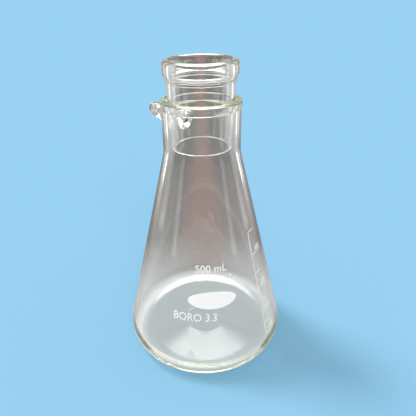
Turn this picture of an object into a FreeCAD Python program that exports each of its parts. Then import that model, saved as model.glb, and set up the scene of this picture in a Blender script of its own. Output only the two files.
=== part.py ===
import FreeCAD, Part
import math
import os

from FreeCAD import Rotation, Vector

# A 500 mL conical filter flask with a side arm, and the beaded glass insert that
# hangs in its mouth.  Millimetres, +Z up, the origin on the table under the
# flask's axis.  The front of the flask faces -Y; bearings run from the front
# towards +X.

# ---- the flask -----------------------------------------------------------------
BASE_DIAMETER = 105.0
RIM_HEIGHT = 166.0            # table to the top of the flask's own rim
NECK_DIAMETER = 45.6
NECK_LENGTH = 31.0            # rim down to where the cone would meet the neck
CONE_WALL = 3.0
NECK_WALL = 3.2
FLOOR_THICKNESS = 4.4
HEEL_RADIUS = 11.0            # outside corner between the cone and the foot
FLOOR_CORNER_RADIUS = 8.3     # inside corner between the cone and the floor
SHOULDER_RADIUS = 14.0        # outside corner between the cone and the neck
FOOT_WIDTH = 4.5              # flat ring that the flask stands on
PUSH_UP = 1.9                 # how far the underside's middle stands off the table
MOULD_MARK_RADIUS = 15.0      # round mark in the middle of the underside
MOULD_MARK_DEPTH = 0.5
MOULD_MARK_ROUND = 0.2
FOOT_INNER_ROUND = 6.0        # from the foot ring up to the pushed-up middle
CAVITY_TO_NOMINAL = 0.924     # nominal capacity over the cavity below the neck
NOMINAL_STEP = 50.0           # nominal capacities are multiples of this, in mL

# ---- the rim and its mouth -----------------------------------------------------
RIM_BAND_HEIGHT = 4.6         # tooled band round the outside of the mouth
RIM_BAND_PROUD = 0.35
RIM_BAND_ROUND = 0.3
RIM_OUTER_ROUND = 1.9
RIM_INNER_ROUND = 1.2
RIM_WALL = 3.73               # neck's outside to the mouth, at the rim
MOUTH_LAND_HEIGHT = 4.0       # tapered land that the insert wedges in
MOUTH_LAND_RUNOUT = 2.0
MOUTH_LAND_ROUND = 1.0

# ---- the insert ----------------------------------------------------------------
INSERT_STAND_OUT = 21.2       # rim of the flask to the top of the insert
INSERT_DEPTH = 28.0           # rim of the flask down to the insert's open end
INSERT_WALL = 2.0             # at the open end
COLLAR_WALL = 2.4             # just under the bead, round the straight bore
INSERT_BORE_LENGTH = 22.0
INSERT_TAPER = 0.1            # change of diameter over length
SEAT_CLEARANCE = 0.06         # per side, insert to mouth land
COLLAR_ROUND = 0.4
BEAD_PROUD = 1.6              # bead over collar, per side
BEAD_HEIGHT = 7.8
BEAD_UNDERCUT = 1.6           # height of the slope from bead to collar
BEAD_OUTER_ROUND = 2.6
BEAD_FOOT_ROUND = 2.0
BEAD_INNER_ROUND = 1.1
RIDGE_HEIGHT = 1.0            # small tooled ridge under the bead
RIDGE_PROUD = 0.4
RIDGE_DROP = 1.0              # gap between the bead's slope and the ridge
RIDGE_ROUND = 0.3
RIDGE_BLEND = 0.25            # where the ridge runs out into the sleeve above it
END_ROUND = 0.8

# ---- the side arm --------------------------------------------------------------
ARM_DROP = 16.0               # rim down to the arm's axis
ARM_BEARING = -144.0          # back left
ARM_LENGTH = 31.2             # neck's outside to the arm's tip
ARM_BORE_DIAMETER = 5.2
ARM_TUBE_DIAMETER = 9.6
ARM_ROOT_DIAMETER = 14.5      # flare of the weld on the neck
ARM_ROOT_LENGTH = 6.0
ARM_ROOT_EDGE = 0.6           # straight edge of the flare at the neck
ARM_ROOT_ROUND = 4.0
ARM_TIP_ROUND = 0.8
ARM_TIP_INNER_ROUND = 0.5
BARB_TIP_DIAMETER = 9.6       # crest of the barb nearest the tip
BARB_GROWTH = 0.5             # each barb further in has a wider crest by this
BARB_COUNT = 6
BARB_PITCH = 3.0
BARB_DEPTH = 0.8              # crest to the root of the same barb, per side
BARB_RAMP = 0.3               # length of each barb's steep face
BARB_LAND = 0.8
STOP_LAND = 2.0               # land of the innermost and widest barb

# ---- the fired enamel ----------------------------------------------------------
ENAMEL_THICKNESS = 0.15
CAPACITY_HEIGHT = 75.5
CAPACITY_LETTER = 4.6
STOPPER_TEXT = "STOPPER No. 7"
STOPPER_HEIGHT = 69.2
STOPPER_LETTER = 2.8
PATCH_HEIGHT = 55.8
PATCH_WIDTH = 29.6
PATCH_TALL = 11.0
FRONT_MARKS_BEARING = 6.2
GLASS_TEXT = "BORO 3.3"
GLASS_HEIGHT = 45.0
GLASS_LETTER = 5.2
GLASS_BEARING = -8.0
SCALE_BEARING = 51.5
SCALE_LINE_WIDTH = 0.6
SCALE_DIVISIONS = 10          # of the nominal capacity
SCALE_FIRST = 2               # lowest and highest division with a tick
SCALE_LAST = 9
TICK_GAP = 0.6                # scale line to the start of each tick
SHORT_TICK = 5.0
LONG_TICK = 10.0
NUMBER_LETTER = 2.8
NUMBER_LIFT = 2.4             # tick to the middle of the number above it

STROKE_DEPTH = 2.0            # how far each flat stroke reaches into and out of the glass
FILL_TOLERANCE = 0.05
CUBIC_MM_PER_ML = 1000.0

AXIS = Vector(0, 0, 1)
CENTRE = Vector(0, 0, 0)

# ---- sizes that follow from those above ----------------------------------------
NECK_RADIUS = NECK_DIAMETER / 2
NECK_BORE_RADIUS = NECK_RADIUS - NECK_WALL
NECK_FOOT_HEIGHT = RIM_HEIGHT - NECK_LENGTH
MOUTH_RADIUS = NECK_RADIUS - RIM_WALL
TAPER_SLOPE = INSERT_TAPER / 2
INSERT_TOP = RIM_HEIGHT + INSERT_STAND_OUT
COLLAR_TOP = INSERT_TOP - BEAD_HEIGHT - BEAD_UNDERCUT
INSERT_END = RIM_HEIGHT - INSERT_DEPTH
ARM_HEIGHT = RIM_HEIGHT - ARM_DROP
ARM_REACH = NECK_RADIUS + ARM_LENGTH

# Strokes of the stencil lettering, on a grid 3 wide and 6 tall.
GLYPHS = {
    "0": [((0, 0), (3, 0), (3, 6), (0, 6), (0, 0))],
    "1": [((0.5, 5), (1.5, 6), (1.5, 0))],
    "2": [((0, 6), (3, 6), (3, 3), (0, 3), (0, 0), (3, 0))],
    "3": [((0, 6), (3, 6), (3, 0), (0, 0)), ((1, 3), (3, 3))],
    "4": [((0, 6), (0, 3), (3, 3)), ((3, 6), (3, 0))],
    "5": [((3, 6), (0, 6), (0, 3), (3, 3), (3, 0), (0, 0))],
    "6": [((3, 6), (0, 6), (0, 0), (3, 0), (3, 3), (0, 3))],
    "7": [((0, 6), (3, 6), (1, 0))],
    "8": [((0, 0), (0, 6), (3, 6), (3, 0), (0, 0)), ((0, 3), (3, 3))],
    "9": [((3, 3), (0, 3), (0, 6), (3, 6), (3, 0), (0, 0))],
    "B": [((0, 0), (0, 6), (3, 6), (3, 0), (0, 0)), ((0, 3), (3, 3))],
    "E": [((3, 6), (0, 6), (0, 0), (3, 0)), ((0, 3), (2.5, 3))],
    "L": [((0, 6), (0, 0), (3, 0))],
    "N": [((0, 0), (0, 6), (3, 0), (3, 6))],
    "P": [((0, 0), (0, 6), (3, 6), (3, 3), (0, 3))],
    "R": [((0, 0), (0, 6), (3, 6), (3, 3), (0, 3)), ((1.5, 3), (3, 0))],
    "T": [((0, 6), (3, 6)), ((1.5, 6), (1.5, 0))],
    "m": [((0, 0), (0, 4), (3, 4), (3, 0)), ((1.5, 4), (1.5, 0))],
    "o": [((0, 0), (3, 0), (3, 4), (0, 4), (0, 0))],
    ".": [((1, 0), (2, 0))],
    " ": [],
}
GLYPHS["O"] = GLYPHS["0"]
GLYPHS["S"] = GLYPHS["5"]
GLYPH_WIDTH = 3
GLYPH_ADVANCE = 4.2
GLYPH_TALL = 6
STROKE = 0.7


def heel_centre_radius():
    return BASE_DIAMETER / 2 - HEEL_RADIUS


def cone_angle():
    """Half-angle of the line from the neck's foot that is tangent to the heel."""
    across = heel_centre_radius() - NECK_RADIUS
    up = NECK_FOOT_HEIGHT - HEEL_RADIUS
    return math.atan2(across, up) + math.asin(HEEL_RADIUS / math.hypot(across, up))


def cone_radius(height, inset=0.0):
    """Radius of the cone's outside at a height, or of a surface inset from it."""
    angle = cone_angle()
    return NECK_RADIUS + (NECK_FOOT_HEIGHT - height) * math.tan(angle) - inset / math.cos(angle)


def cone_height(radius, inset=0.0):
    angle = cone_angle()
    return NECK_FOOT_HEIGHT - (radius + inset / math.cos(angle) - NECK_RADIUS) / math.tan(angle)


def insert_radius(height):
    """Outside of the insert's tapered sleeve, which seats in the mouth at the rim."""
    return MOUTH_RADIUS - SEAT_CLEARANCE + (height - RIM_HEIGHT) * TAPER_SLOPE


def rounded_outline(corners):
    """Closed wire in the XZ plane through (radius, height, rounding) corners."""
    points = [Vector(radius, 0, height) for radius, height, _ in corners]
    count = len(corners)
    edges = []
    ends = []
    for i, (_, _, rounding) in enumerate(corners):
        here = points[i]
        back = (points[i - 1] - here).normalize()
        ahead = (points[(i + 1) % count] - here).normalize()
        if rounding == 0:
            ends.append((here, None, here))
            continue
        half = back.getAngle(ahead) / 2
        reach = rounding / math.tan(half)
        bisector = (back + ahead).normalize()
        middle = here + bisector * (rounding / math.sin(half) - rounding)
        ends.append((here + back * reach, middle, here + ahead * reach))
    for i, (start, middle, stop) in enumerate(ends):
        if middle is not None:
            edges.append(Part.Arc(start, middle, stop).toShape())
        following = ends[(i + 1) % count][0]
        if stop.distanceToPoint(following) > 1e-6:
            edges.append(Part.LineSegment(stop, following).toShape())
    return Part.Wire(edges)


def turned(corners):
    """Solid of revolution round the flask's axis."""
    return Part.Face(rounded_outline(corners)).revolve(CENTRE, AXIS, 360)


def cavity_corners():
    """Inside of the flask, from the floor's middle up to the mouth's run-out."""
    top = RIM_HEIGHT - MOUTH_LAND_HEIGHT - MOUTH_LAND_RUNOUT
    floor_middle = FLOOR_THICKNESS + PUSH_UP / 2
    wall_foot = cone_radius(FLOOR_THICKNESS, CONE_WALL)
    return [
        (0, floor_middle, 0),
        (wall_foot, FLOOR_THICKNESS, FLOOR_CORNER_RADIUS),
        (NECK_BORE_RADIUS, cone_height(NECK_BORE_RADIUS, CONE_WALL), SHOULDER_RADIUS + NECK_WALL),
        (NECK_BORE_RADIUS, top, 0),
        (0, top, 0),
    ]


def arm_direction():
    bearing = math.radians(ARM_BEARING)
    return Vector(math.sin(bearing), -math.cos(bearing), 0)


def flask_body():
    land_foot = RIM_HEIGHT - MOUTH_LAND_HEIGHT
    land_low = insert_radius(land_foot) + SEAT_CLEARANCE
    band_foot = RIM_HEIGHT - RIM_BAND_HEIGHT
    band_radius = NECK_RADIUS + RIM_BAND_PROUD
    foot_inner = heel_centre_radius() - FOOT_WIDTH
    corners = [
        (0, PUSH_UP + MOULD_MARK_DEPTH, 0),
        (MOULD_MARK_RADIUS, PUSH_UP + MOULD_MARK_DEPTH, MOULD_MARK_ROUND),
        (MOULD_MARK_RADIUS, PUSH_UP, MOULD_MARK_ROUND),
        (foot_inner, 0, FOOT_INNER_ROUND),
        (cone_radius(0), 0, HEEL_RADIUS),
        (NECK_RADIUS, NECK_FOOT_HEIGHT, SHOULDER_RADIUS),
        (NECK_RADIUS, band_foot - RIM_BAND_PROUD, RIM_BAND_ROUND),
        (band_radius, band_foot, RIM_BAND_ROUND),
        (band_radius, RIM_HEIGHT, RIM_OUTER_ROUND),
        (MOUTH_RADIUS, RIM_HEIGHT, RIM_INNER_ROUND),
        (land_low, land_foot, MOUTH_LAND_ROUND),
        (NECK_BORE_RADIUS, land_foot - MOUTH_LAND_RUNOUT, MOUTH_LAND_ROUND),
    ]
    corners += reversed(cavity_corners()[:3])
    root = Vector(0, 0, ARM_HEIGHT)
    outlet = Part.makeCylinder(ARM_BORE_DIAMETER / 2, NECK_DIAMETER, root, arm_direction())
    return turned(corners).cut(outlet)


def barb_crest(i):
    """Radius of a barb's crest, counted outwards from the neck."""
    return (BARB_TIP_DIAMETER + (BARB_COUNT - 1 - i) * BARB_GROWTH) / 2


def side_arm():
    """Hose connection: a welded root, a plain tube and a tapering row of barbs."""
    bore = ARM_BORE_DIAMETER / 2
    tube = ARM_TUBE_DIAMETER / 2
    root = ARM_ROOT_DIAMETER / 2
    corners = [(bore, NECK_BORE_RADIUS, 0), (root, NECK_BORE_RADIUS, 0)]
    corners += [(root, NECK_RADIUS + ARM_ROOT_EDGE, 0), (tube, NECK_RADIUS + ARM_ROOT_LENGTH, ARM_ROOT_ROUND)]
    for i in range(BARB_COUNT):
        crest = barb_crest(i)
        land = BARB_LAND if i else STOP_LAND
        land_end = ARM_REACH - (BARB_COUNT - i) * BARB_PITCH + BARB_RAMP + BARB_LAND
        foot = crest - BARB_DEPTH if i else tube
        corners += [(foot, land_end - land - BARB_RAMP, 0), (crest, land_end - land, 0), (crest, land_end, 0)]
    corners += [(crest - BARB_DEPTH, ARM_REACH, ARM_TIP_ROUND), (bore, ARM_REACH, ARM_TIP_INNER_ROUND)]
    arm = turned(corners)
    arm.Placement = FreeCAD.Placement(Vector(0, 0, ARM_HEIGHT), Rotation(AXIS, arm_direction()))
    neck = Part.makeCylinder(NECK_RADIUS, 2 * root, Vector(0, 0, ARM_HEIGHT - root))
    return arm.cut(neck)


def insert():
    """Open sleeve with a heavy bead, tapered to wedge in the mouth."""
    collar = insert_radius(COLLAR_TOP)
    bore = collar - COLLAR_WALL
    bead = collar + BEAD_PROUD
    bore_end = INSERT_TOP - INSERT_BORE_LENGTH
    bead_foot = INSERT_TOP - BEAD_HEIGHT
    ridge_top = COLLAR_TOP - RIDGE_DROP
    ridge_foot = ridge_top - RIDGE_HEIGHT
    ridge = insert_radius(ridge_top) + RIDGE_PROUD
    corners = [
        (bore, INSERT_TOP, BEAD_INNER_ROUND),
        (bore, bore_end, 0),
        (insert_radius(INSERT_END) - INSERT_WALL, INSERT_END, END_ROUND),
        (insert_radius(INSERT_END), INSERT_END, END_ROUND),
        (insert_radius(ridge_foot - RIDGE_PROUD), ridge_foot - RIDGE_PROUD, RIDGE_ROUND),
        (ridge, ridge_foot, RIDGE_ROUND),
        (ridge, ridge_top, RIDGE_ROUND),
        (insert_radius(ridge_top + RIDGE_PROUD), ridge_top + RIDGE_PROUD, RIDGE_BLEND),
        (collar, COLLAR_TOP, COLLAR_ROUND),
        (bead, bead_foot, BEAD_FOOT_ROUND),
        (bead, INSERT_TOP, BEAD_OUTER_ROUND),
    ]
    return turned(corners)


def enamel_shell():
    """Thin skin outside the cone above its heel, from which every mark is cut."""
    low = HEEL_RADIUS * (1 + math.sin(cone_angle()))
    high = NECK_FOOT_HEIGHT - SHOULDER_RADIUS
    return turned([
        (cone_radius(low), low, 0),
        (cone_radius(low, -ENAMEL_THICKNESS), low, 0),
        (cone_radius(high, -ENAMEL_THICKNESS), high, 0),
        (cone_radius(high), high, 0),
    ])


def cone_placement(bearing, height):
    """Frame on the cone: X to the right, Y up the slope, Z out of the glass."""
    turn = Rotation(AXIS, bearing)
    lean = Rotation(Vector(1, 0, 0), 90 - math.degrees(cone_angle()))
    radius = cone_radius(height)
    place = turn.multVec(Vector(0, -radius, height))
    return FreeCAD.Placement(place, turn.multiply(lean))


def bar(start, stop, width):
    """Upright prism round a straight stroke, drawn flat."""
    run = stop - start
    along = Vector(run).normalize() * (width / 2)
    side = Vector(-along.y, along.x, 0)
    first, last = start - along, stop + along
    corners = [first - side, last - side, last + side, first + side]
    base = Part.Face(Part.makePolygon(corners + corners[:1]))
    base.translate(Vector(0, 0, -STROKE_DEPTH))
    return base.extrude(Vector(0, 0, 2 * STROKE_DEPTH))


def on_cone(flat, bearing, height):
    placed = flat.copy()
    placed.Placement = cone_placement(bearing, height)
    return placed.common(enamel_shell()).Solids


def glyph(letter, size):
    scale = size / GLYPH_TALL
    shift = Vector(-GLYPH_WIDTH / 2 * scale, -size / 2, 0)
    bars = []
    for stroke in GLYPHS[letter]:
        points = [Vector(x * scale, y * scale, 0) + shift for x, y in stroke]
        bars += [bar(a, b, STROKE * scale) for a, b in zip(points, points[1:])]
    return bars[0].fuse(bars[1:]) if len(bars) > 1 else bars[0]


def lettering(text, size, bearing, height):
    """Text round the cone, centred on a bearing."""
    advance = GLYPH_ADVANCE * size / GLYPH_TALL
    step = math.degrees(advance / cone_radius(height))
    first = bearing - (len(text) - 1) / 2 * step
    solids = []
    for i, letter in enumerate(text):
        if GLYPHS[letter]:
            solids += on_cone(glyph(letter, size), first + i * step, height)
    return Part.makeCompound(solids)


def writing_patch():
    outline = Part.Ellipse(CENTRE, PATCH_WIDTH / 2, PATCH_TALL / 2).toShape()
    flat = Part.Face(Part.Wire(outline))
    flat.translate(Vector(0, 0, -PATCH_TALL))
    disc = flat.extrude(Vector(0, 0, 2 * PATCH_TALL))
    return Part.makeCompound(on_cone(disc, FRONT_MARKS_BEARING, PATCH_HEIGHT))


def filled_volume(cavity, height):
    """Millilitres of the cavity below a height."""
    corner = Vector(-BASE_DIAMETER / 2, -BASE_DIAMETER / 2, 0)
    below = Part.makeBox(BASE_DIAMETER, BASE_DIAMETER, height, corner)
    return cavity.common(below).Volume / CUBIC_MM_PER_ML


def nominal_capacity(cavity):
    """The capacity that the marks state, from the room below the neck."""
    room = filled_volume(cavity, NECK_FOOT_HEIGHT) * CAVITY_TO_NOMINAL
    return round(room / NOMINAL_STEP) * NOMINAL_STEP


def fill_heights(cavity, capacity):
    """Surface height in the flask for each division of the scale, by bisection."""
    heights = {}
    for division in range(SCALE_FIRST, SCALE_LAST + 1):
        volume = division * capacity / SCALE_DIVISIONS
        low, high = 0.0, NECK_FOOT_HEIGHT
        while high - low > FILL_TOLERANCE:
            middle = (low + high) / 2
            below = filled_volume(cavity, middle)
            low, high = (middle, high) if below < volume else (low, middle)
        heights[division] = (low + high) / 2
    return heights


def is_numbered(division):
    return division % 2 == 0


def scale_line(heights):
    low, high = min(heights.values()), max(heights.values())
    slope = math.cos(cone_angle())
    reach = (high - low) / 2 / slope
    line = bar(Vector(0, -reach, 0), Vector(0, reach, 0), SCALE_LINE_WIDTH)
    return Part.makeCompound(on_cone(line, SCALE_BEARING, (low + high) / 2))


def scale_ticks(heights):
    """Ticks that start just right of the scale line."""
    solids = []
    for division, height in heights.items():
        length = LONG_TICK if is_numbered(division) else SHORT_TICK
        start = Vector(-length / 2, 0, 0)
        middle = SCALE_LINE_WIDTH / 2 + TICK_GAP + length / 2
        bearing = SCALE_BEARING + math.degrees(middle / cone_radius(height))
        solids += on_cone(bar(start, start + Vector(length, 0, 0), SCALE_LINE_WIDTH), bearing, height)
    return Part.makeCompound(solids)


def scale_numbers(heights, capacity):
    """Each number stands on its tick, towards the tick's far end."""
    solids = []
    for division, height in heights.items():
        if is_numbered(division):
            text = f"{division * capacity / SCALE_DIVISIONS:.0f}"
            half = len(text) * GLYPH_ADVANCE * NUMBER_LETTER / GLYPH_TALL / 2
            bearing = SCALE_BEARING + math.degrees((LONG_TICK - half) / cone_radius(height))
            solids += lettering(text, NUMBER_LETTER, bearing, height + NUMBER_LIFT).Solids
    return Part.makeCompound(solids)


def main():
    cavity = turned(cavity_corners())
    capacity = nominal_capacity(cavity)
    heights = fill_heights(cavity, capacity)
    marked = f"{capacity:.0f} mL"
    pieces = {
        "flask_body": flask_body(),
        "side_arm": side_arm(),
        "insert": insert(),
        "capacity_mark": lettering(marked, CAPACITY_LETTER, FRONT_MARKS_BEARING, CAPACITY_HEIGHT),
        "stopper_mark": lettering(STOPPER_TEXT, STOPPER_LETTER, FRONT_MARKS_BEARING, STOPPER_HEIGHT),
        "glass_mark": lettering(GLASS_TEXT, GLASS_LETTER, GLASS_BEARING, GLASS_HEIGHT),
        "writing_patch": writing_patch(),
        "scale_line": scale_line(heights),
        "scale_ticks": scale_ticks(heights),
        "scale_numbers": scale_numbers(heights, capacity),
    }
    os.makedirs("parts", exist_ok=True)
    for name, shape in pieces.items():
        shape.exportStep(f"parts/{name}.step")
        solids = len(shape.Solids)
        print(f"{name}: {solids} solid(s), {shape.Volume:.1f} mm3, valid {shape.isValid()}")
    print(f"room below the neck {filled_volume(cavity, NECK_FOOT_HEIGHT):.1f} mL, nominal {capacity:.0f} mL")
    print({division: round(height, 1) for division, height in heights.items()})


main()
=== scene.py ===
import bmesh
import bpy
import math

import numpy as np
from bpy.props import (FloatProperty, FloatVectorProperty, IntProperty, PointerProperty,
                       StringProperty)
from bpy.types import Operator, Panel, PropertyGroup
from mathutils import Matrix, Vector


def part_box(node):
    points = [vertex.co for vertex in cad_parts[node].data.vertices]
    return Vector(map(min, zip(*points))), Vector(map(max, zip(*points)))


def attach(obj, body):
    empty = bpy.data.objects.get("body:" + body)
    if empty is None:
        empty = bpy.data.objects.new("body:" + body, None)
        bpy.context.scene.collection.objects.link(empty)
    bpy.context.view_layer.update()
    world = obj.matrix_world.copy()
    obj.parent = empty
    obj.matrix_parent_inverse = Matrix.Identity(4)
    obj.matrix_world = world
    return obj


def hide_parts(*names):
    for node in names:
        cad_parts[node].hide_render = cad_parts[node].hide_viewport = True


bl_info = {
    "name": "Filter flask",
    "version": (1, 0, 0),
    "blender": (4, 5, 0),
    "location": "3D View > Sidebar > Flask",
    "description": "A conical side-arm flask of clear glass with a beaded insert and enamel marks",
    "category": "Add Mesh",
}

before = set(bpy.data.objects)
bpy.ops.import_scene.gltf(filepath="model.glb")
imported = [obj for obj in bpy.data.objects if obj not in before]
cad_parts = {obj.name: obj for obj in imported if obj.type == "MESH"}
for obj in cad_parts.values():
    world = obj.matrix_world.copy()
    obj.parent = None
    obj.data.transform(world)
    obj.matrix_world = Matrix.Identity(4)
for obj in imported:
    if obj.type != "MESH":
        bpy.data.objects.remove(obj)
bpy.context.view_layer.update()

MM = 0.001
FLASK = "flask"
INSERT = "insert"
BODY_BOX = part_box("flask_body")
INSERT_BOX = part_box("insert")


# ---- sizes and colours that a user would change ------------------------------
def length(name, description, default):
    return FloatProperty(name=name, description=description, default=default, min=0.0,
                         subtype="DISTANCE", unit="LENGTH", precision=5)


def bearing(name, description, default):
    return FloatProperty(name=name, description=description, default=math.radians(default),
                         subtype="ANGLE", unit="ROTATION")


def amount(name, description, default):
    return FloatProperty(name=name, description=description, default=default, min=0.0,
                         precision=3)


def colour(name, description, default):
    return FloatVectorProperty(name=name, description=description, default=default,
                               size=3, min=0.0, max=1.0, subtype="COLOR")


class FlaskSizes(PropertyGroup):
    """The blown body: cone, neck, rim and base."""
    base_diameter: length("Base diameter", "Widest part of the cone",
                          BODY_BOX[1][0] - BODY_BOX[0][0])
    rim_height: length("Rim height", "Table to the top of the flask's own rim", BODY_BOX[1][2])
    neck_diameter: length("Neck diameter", "Outside of the neck", 45.6 * MM)
    neck_foot: length("Neck foot", "Height where the cone would meet the neck", 135 * MM)
    cone_wall: length("Cone wall", "Thickness of the cone's glass", 3.0 * MM)
    neck_wall: length("Neck wall", "Thickness of the neck's glass", 3.2 * MM)
    floor: length("Floor thickness", "Glass under the liquid, at its edge", 4.4 * MM)
    heel: length("Heel radius", "Outside rounding at the foot", 11.0 * MM)
    floor_corner: length("Floor corner radius", "Inside rounding at the floor", 8.3 * MM)
    shoulder: length("Shoulder radius", "Rounding from cone to neck", 14.0 * MM)
    foot_width: length("Foot width", "Flat ring that the flask stands on", 4.5 * MM)
    push_up: length("Push-up", "How far the middle of the underside stands off the table", 1.9 * MM)
    mark_radius: length("Mould mark radius", "Round mark in the underside", 15.0 * MM)
    mark_slope: length("Mould mark slope", "Half the width that the worn step takes", 1.5 * MM)
    mark_depth: length("Mould mark depth", "Step at the round mark", 0.5 * MM)
    band_height: length("Rim band height", "Tooled band round the mouth", 4.6 * MM)
    band_proud: length("Rim band proud", "How far the band stands out", 0.35 * MM)
    rim_outer_round: length("Rim outer rounding", "Outer edge of the rim", 1.9 * MM)
    rim_inner_round: length("Rim inner rounding", "Inner edge of the rim", 1.2 * MM)
    land_height: length("Mouth land", "Tapered land that holds the insert", 4.0 * MM)
    land_runout: length("Mouth land run-out", "Slope from the land to the bore", 2.0 * MM)


class InsertSizes(PropertyGroup):
    """The beaded sleeve that hangs in the mouth."""
    top: length("Top", "Height of the bead's top", INSERT_BOX[1][2])
    end: length("Open end", "Height of the sleeve's lower end", INSERT_BOX[0][2])
    bead_diameter: length("Bead diameter", "Outside of the bead",
                          INSERT_BOX[1][0] - INSERT_BOX[0][0])
    wall: length("Wall", "Thickness of the sleeve's glass", 2.0 * MM)
    bore_diameter: length("Bore", "Straight bore at the top", 34.4 * MM)
    bore_length: length("Bore length", "Length of the straight bore", 22.0 * MM)
    collar_diameter: length("Collar diameter", "Outside just under the bead", 39.2 * MM)
    slope: amount("Slope", "Change of radius over height", 0.05)
    clearance: length("Seat clearance", "Gap to the mouth's land", 0.06 * MM)
    bead_height: length("Bead height", "Height of the bead", 7.8 * MM)
    bead_undercut: length("Bead undercut", "Slope from bead to collar", 1.6 * MM)
    bead_round: length("Bead rounding", "Outer rounding of the bead", 2.6 * MM)
    bead_inner_round: length("Bead inner rounding", "Inner rounding of the bead", 1.1 * MM)
    ridge_height: length("Ridge height", "Small ridge under the bead", 1.0 * MM)
    ridge_proud: length("Ridge proud", "How far the ridge stands out", 0.4 * MM)
    ridge_drop: length("Ridge drop", "Gap between bead and ridge", 1.0 * MM)
    end_round: length("End rounding", "Rounding of the open end", 0.8 * MM)


class ArmSizes(PropertyGroup):
    """The serrated hose connection on the neck."""
    height: length("Height", "Height of the arm's axis", 150 * MM)
    bearing: bearing("Bearing", "Direction of the arm, from the front towards +X", -144)
    reach: length("Reach", "Flask's axis to the arm's tip", 54 * MM)
    bore: length("Bore", "Hole through the arm", 5.2 * MM)
    tube: length("Tube", "Outside of the plain tube", 9.6 * MM)
    root: length("Root", "Outside of the weld on the neck", 14.5 * MM)
    root_length: length("Root length", "Length of the weld's flare", 6 * MM)
    tip_barb: length("Tip barb", "Crest of the barb nearest the tip", 9.6 * MM)
    growth: length("Growth", "How much wider each barb further in is", 0.5 * MM)
    barbs: IntProperty(name="Barbs", description="Number of barbs", default=6, min=1)
    pitch: length("Barb pitch", "Barb to barb", 3.0 * MM)
    depth: length("Barb depth", "Crest to root of a barb, per side", 0.8 * MM)
    ramp: length("Barb ramp", "Length of a barb's steep face", 0.3 * MM)
    crest: length("Barb crest", "Flat on each barb's crest", 0.8 * MM)
    stop_crest: length("Stop crest", "Flat on the innermost barb", 2.0 * MM)
    weld_gap: length("Weld gap", "Hairline between arm and neck", 0.02 * MM)


class MarkSizes(PropertyGroup):
    """The white enamel fired on the outside of the cone."""
    thickness: length("Thickness", "How far the enamel stands on the glass", 0.12 * MM)
    front_bearing: bearing("Front marks", "Bearing of the capacity mark, line and oval", 6.2)
    capacity: StringProperty(name="Capacity", description="Capacity mark", default="500 mL")
    capacity_height: length("Capacity height", "Middle of the capacity mark", 75.5 * MM)
    capacity_width: length("Capacity width", "Width of the capacity mark", 18.6 * MM)
    capacity_tall: length("Capacity letters", "Height of the capacity mark", 4.5 * MM)
    stopper: StringProperty(name="Stopper line", description="Small line", default="STOPPER No. 7")
    stopper_height: length("Stopper line height", "Middle of the small line", 69.2 * MM)
    stopper_width: length("Stopper line width", "Width of the small line", 24.2 * MM)
    stopper_tall: length("Stopper letters", "Height of the small line", 2.7 * MM)
    patch_height: length("Oval height", "Middle of the writing oval", 55.8 * MM)
    patch_width: length("Oval width", "Width of the writing oval", 29.6 * MM)
    patch_tall: length("Oval tall", "Height of the writing oval along the glass", 11.0 * MM)
    glass: StringProperty(name="Glass line", description="Kind of glass", default="BORO 3.3")
    glass_bearing: bearing("Glass line bearing", "Bearing of the glass line", -8)
    glass_height: length("Glass line height", "Middle of the glass line", 45 * MM)
    glass_width: length("Glass line width", "Width of the glass line", 26.5 * MM)
    glass_tall: length("Glass letters", "Height of the glass line", 5.0 * MM)
    scale_bearing: bearing("Scale bearing", "Bearing of the graduation's line", 51.5)
    line_width: length("Line width", "Width of the scale's lines", 0.5 * MM)
    short_tick: length("Short tick", "Length of a short tick", 5 * MM)
    long_tick: length("Long tick", "Length of a numbered tick", 10 * MM)
    number_tall: length("Number letters", "Height of the scale's numbers", 2.7 * MM)
    number_lift: length("Number lift", "Tick to the middle of its number", 2.4 * MM)


class Looks(PropertyGroup):
    """Colours of the glass, the enamel and the stage."""
    glass_ior: amount("Refractive index", "Of borosilicate glass", 1.474)
    glass_edge: colour("Glass depth colour", "What thick glass keeps of light", (0.93, 0.96, 0.70))
    glass_depth: amount("Glass depth", "Strength of the depth colour, per metre", 9.0)
    enamel: colour("Enamel", "Fired white enamel", (0.93, 0.93, 0.92))
    floor_seen: colour("Floor", "What the camera sees of the floor", (0.228, 0.449, 0.618))
    # Painted light and shade that the glass picks up: light by the foot, painted shade behind and
    # far off.
    floor_by_foot: colour("Floor by the foot", "What the glass sees close by", (0.40, 0.402, 0.405))
    floor_in_glass: colour("Floor behind", "What the glass sees behind it", (0.172, 0.155, 0.148))
    floor_far: colour("Floor far off", "What the glass sees far behind it", (0.100, 0.094, 0.091))
    # Painted reflection: a warm strip that the glass shows as a person standing before it.
    floor_middle: colour("Floor strip", "What the glass sees right behind it", (0.24, 0.15, 0.13))
    # Painted light: a nearly white pool right under the flask, so the base looks lit.
    floor_under: colour("Floor under", "What the base sees of the floor", (0.82, 0.82, 0.83))
    floor_radius: length("Floor radius", "The floor is a disc", 8.0)
    backdrop: colour("Backdrop", "What the camera sees beyond the floor", (0.323, 0.645, 0.896))
    card: amount("Cards", "Brightness of the white side cards", 1.8)
    top_glow: amount("Top glow", "Brightness of the card overhead", 18)
    top_reach: length("Top card reach", "Where the overhead card's glow ends", 0.85)
    top_height: length("Top card height", "Height of the overhead card", 0.95)
    key_power: amount("Key light", "Strength of the far light that casts the shadow", 2.6)
    wash_power: amount("Wash light", "Strength of the low even light on the marks", 1.6)
    front_power: FloatProperty(name="Front light", description="Power of the light the gloss shows",
                               default=1.2, unit="POWER")
    room: amount("Room light", "Brightness of the white room", 0.5)


class FilterFlask(PropertyGroup):
    """Everything that the operators below read."""
    flask: PointerProperty(type=FlaskSizes)
    insert: PointerProperty(type=InsertSizes)
    arm: PointerProperty(type=ArmSizes)
    marks: PointerProperty(type=MarkSizes)
    looks: PointerProperty(type=Looks)


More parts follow.
